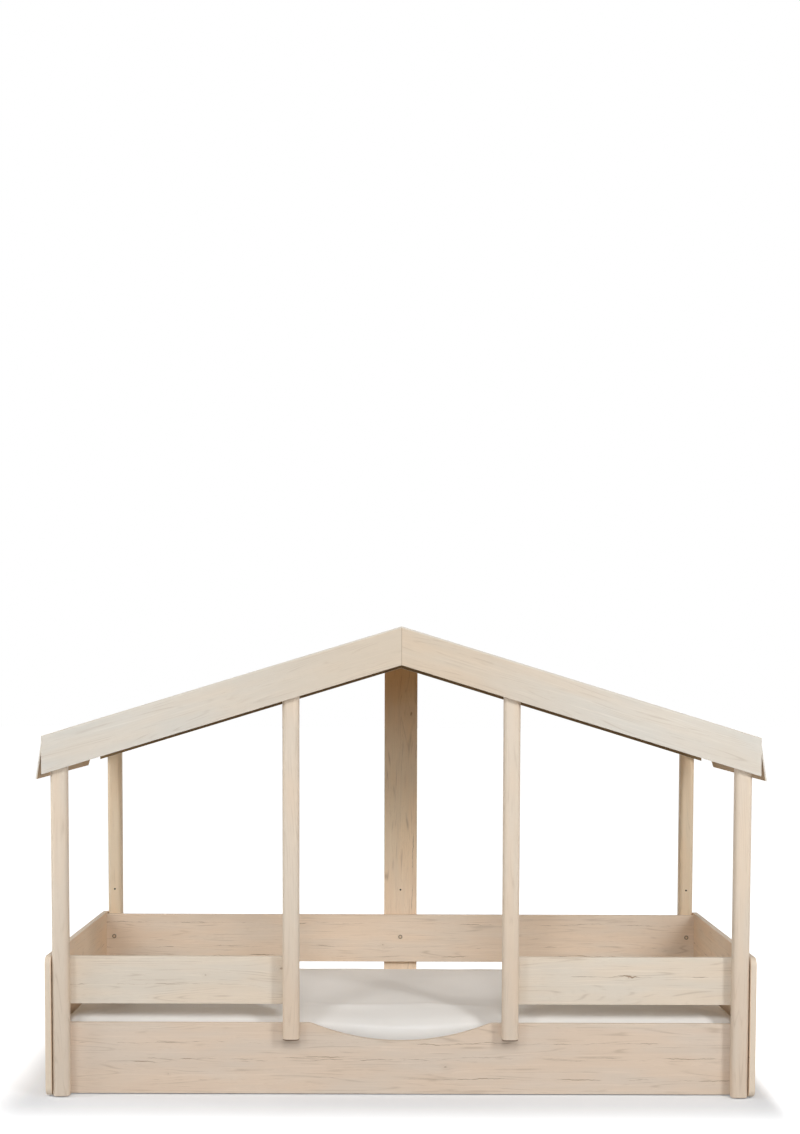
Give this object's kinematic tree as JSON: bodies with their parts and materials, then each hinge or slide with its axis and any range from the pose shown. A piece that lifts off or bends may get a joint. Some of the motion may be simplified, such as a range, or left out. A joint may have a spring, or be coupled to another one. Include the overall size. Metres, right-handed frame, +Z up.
{
  "type": "house frame bed",
  "caption": "Low single bed for a child, with a pitched roof on posts, guard boards with a dipped entry rail, a slatted base and a mattress.",
  "frame": {"origin": "on the floor, under the middle of the bed's overall box", "axes": "+X along the bed to its right end seen from the front, -Y towards the open front with the dipped rail, +Z up"},
  "size_m": [2.086, 1.072, 1.356],
  "materials": {
    "laminated_board": "satin",
    "post_wood": "satin",
    "roof_ply": "satin",
    "softwood": "matte",
    "dowel_wood": "matte",
    "zinc_steel": "satin",
    "wood_tone_plastic": "matte",
    "black_plastic": "matte",
    "cotton_sheet": "matte",
    "webbing": "matte"
  },
  "bodies": {
    "bed_frame": {"back_centre_board": "laminated_board", "back_ledger": "softwood", "back_lower_rail": "laminated_board", "back_upper_rail": "laminated_board", "beam_brackets": "zinc_steel", "beam_feet": "black_plastic", "bolt_plugs": "wood_tone_plastic", "bracket_screws": "zinc_steel", "centre_beam": "softwood", "eaves_batten_left": "softwood", "eaves_batten_right": "softwood", "eaves_board_left": "roof_ply", "eaves_board_right": "roof_ply", "end_panel_left": "laminated_board", "end_panel_right": "laminated_board", "fascia_back_left": "laminated_board", "fascia_back_right": "laminated_board", "fascia_front_left": "laminated_board", "fascia_front_right": "laminated_board", "fascia_screws": "zinc_steel", "floor_glides": "black_plastic", "front_ledger": "softwood", "front_lower_rail": "laminated_board", "guard_board_left": "laminated_board", "guard_board_right": "laminated_board", "ledger_screws": "zinc_steel", "panel_screw_caps": "wood_tone_plastic", "panel_screws": "zinc_steel", "post_back_left": "post_wood", "post_back_right": "post_wood", "post_bolts": "zinc_steel", "post_front_inner_left": "post_wood", "post_front_inner_right": "post_wood", "post_front_outer_left": "post_wood", "post_front_outer_right": "post_wood", "post_inserts": "zinc_steel", "rail_dowels": "dowel_wood", "ridge_beam": "softwood", "ridge_plate": "zinc_steel", "roof_battens_left": "softwood", "roof_battens_right": "softwood", "roof_rafter_left": "softwood", "roof_rafter_right": "softwood", "roof_screws": "zinc_steel", "roof_sheet_left": "roof_ply", "roof_sheet_right": "roof_ply"},
    "slat_base": {"slat_01": "softwood", "slat_02": "softwood", "slat_03": "softwood", "slat_04": "softwood", "slat_05": "softwood", "slat_06": "softwood", "slat_07": "softwood", "slat_08": "softwood", "slat_09": "softwood", "slat_10": "softwood", "slat_11": "softwood", "slat_straps": "webbing"},
    "mattress": {"mattress": "cotton_sheet"}
  },
  "joints": [
    {"name": "slat_base_lift", "type": "slide", "parent": "bed_frame", "child": "slat_base", "axis": [0, 0, 1], "range_m": [0, 0.33]},
    {"name": "mattress_lift", "type": "slide", "parent": "slat_base", "child": "mattress", "axis": [0, 0, 1], "range_m": [0, 0.33]}
  ]
}
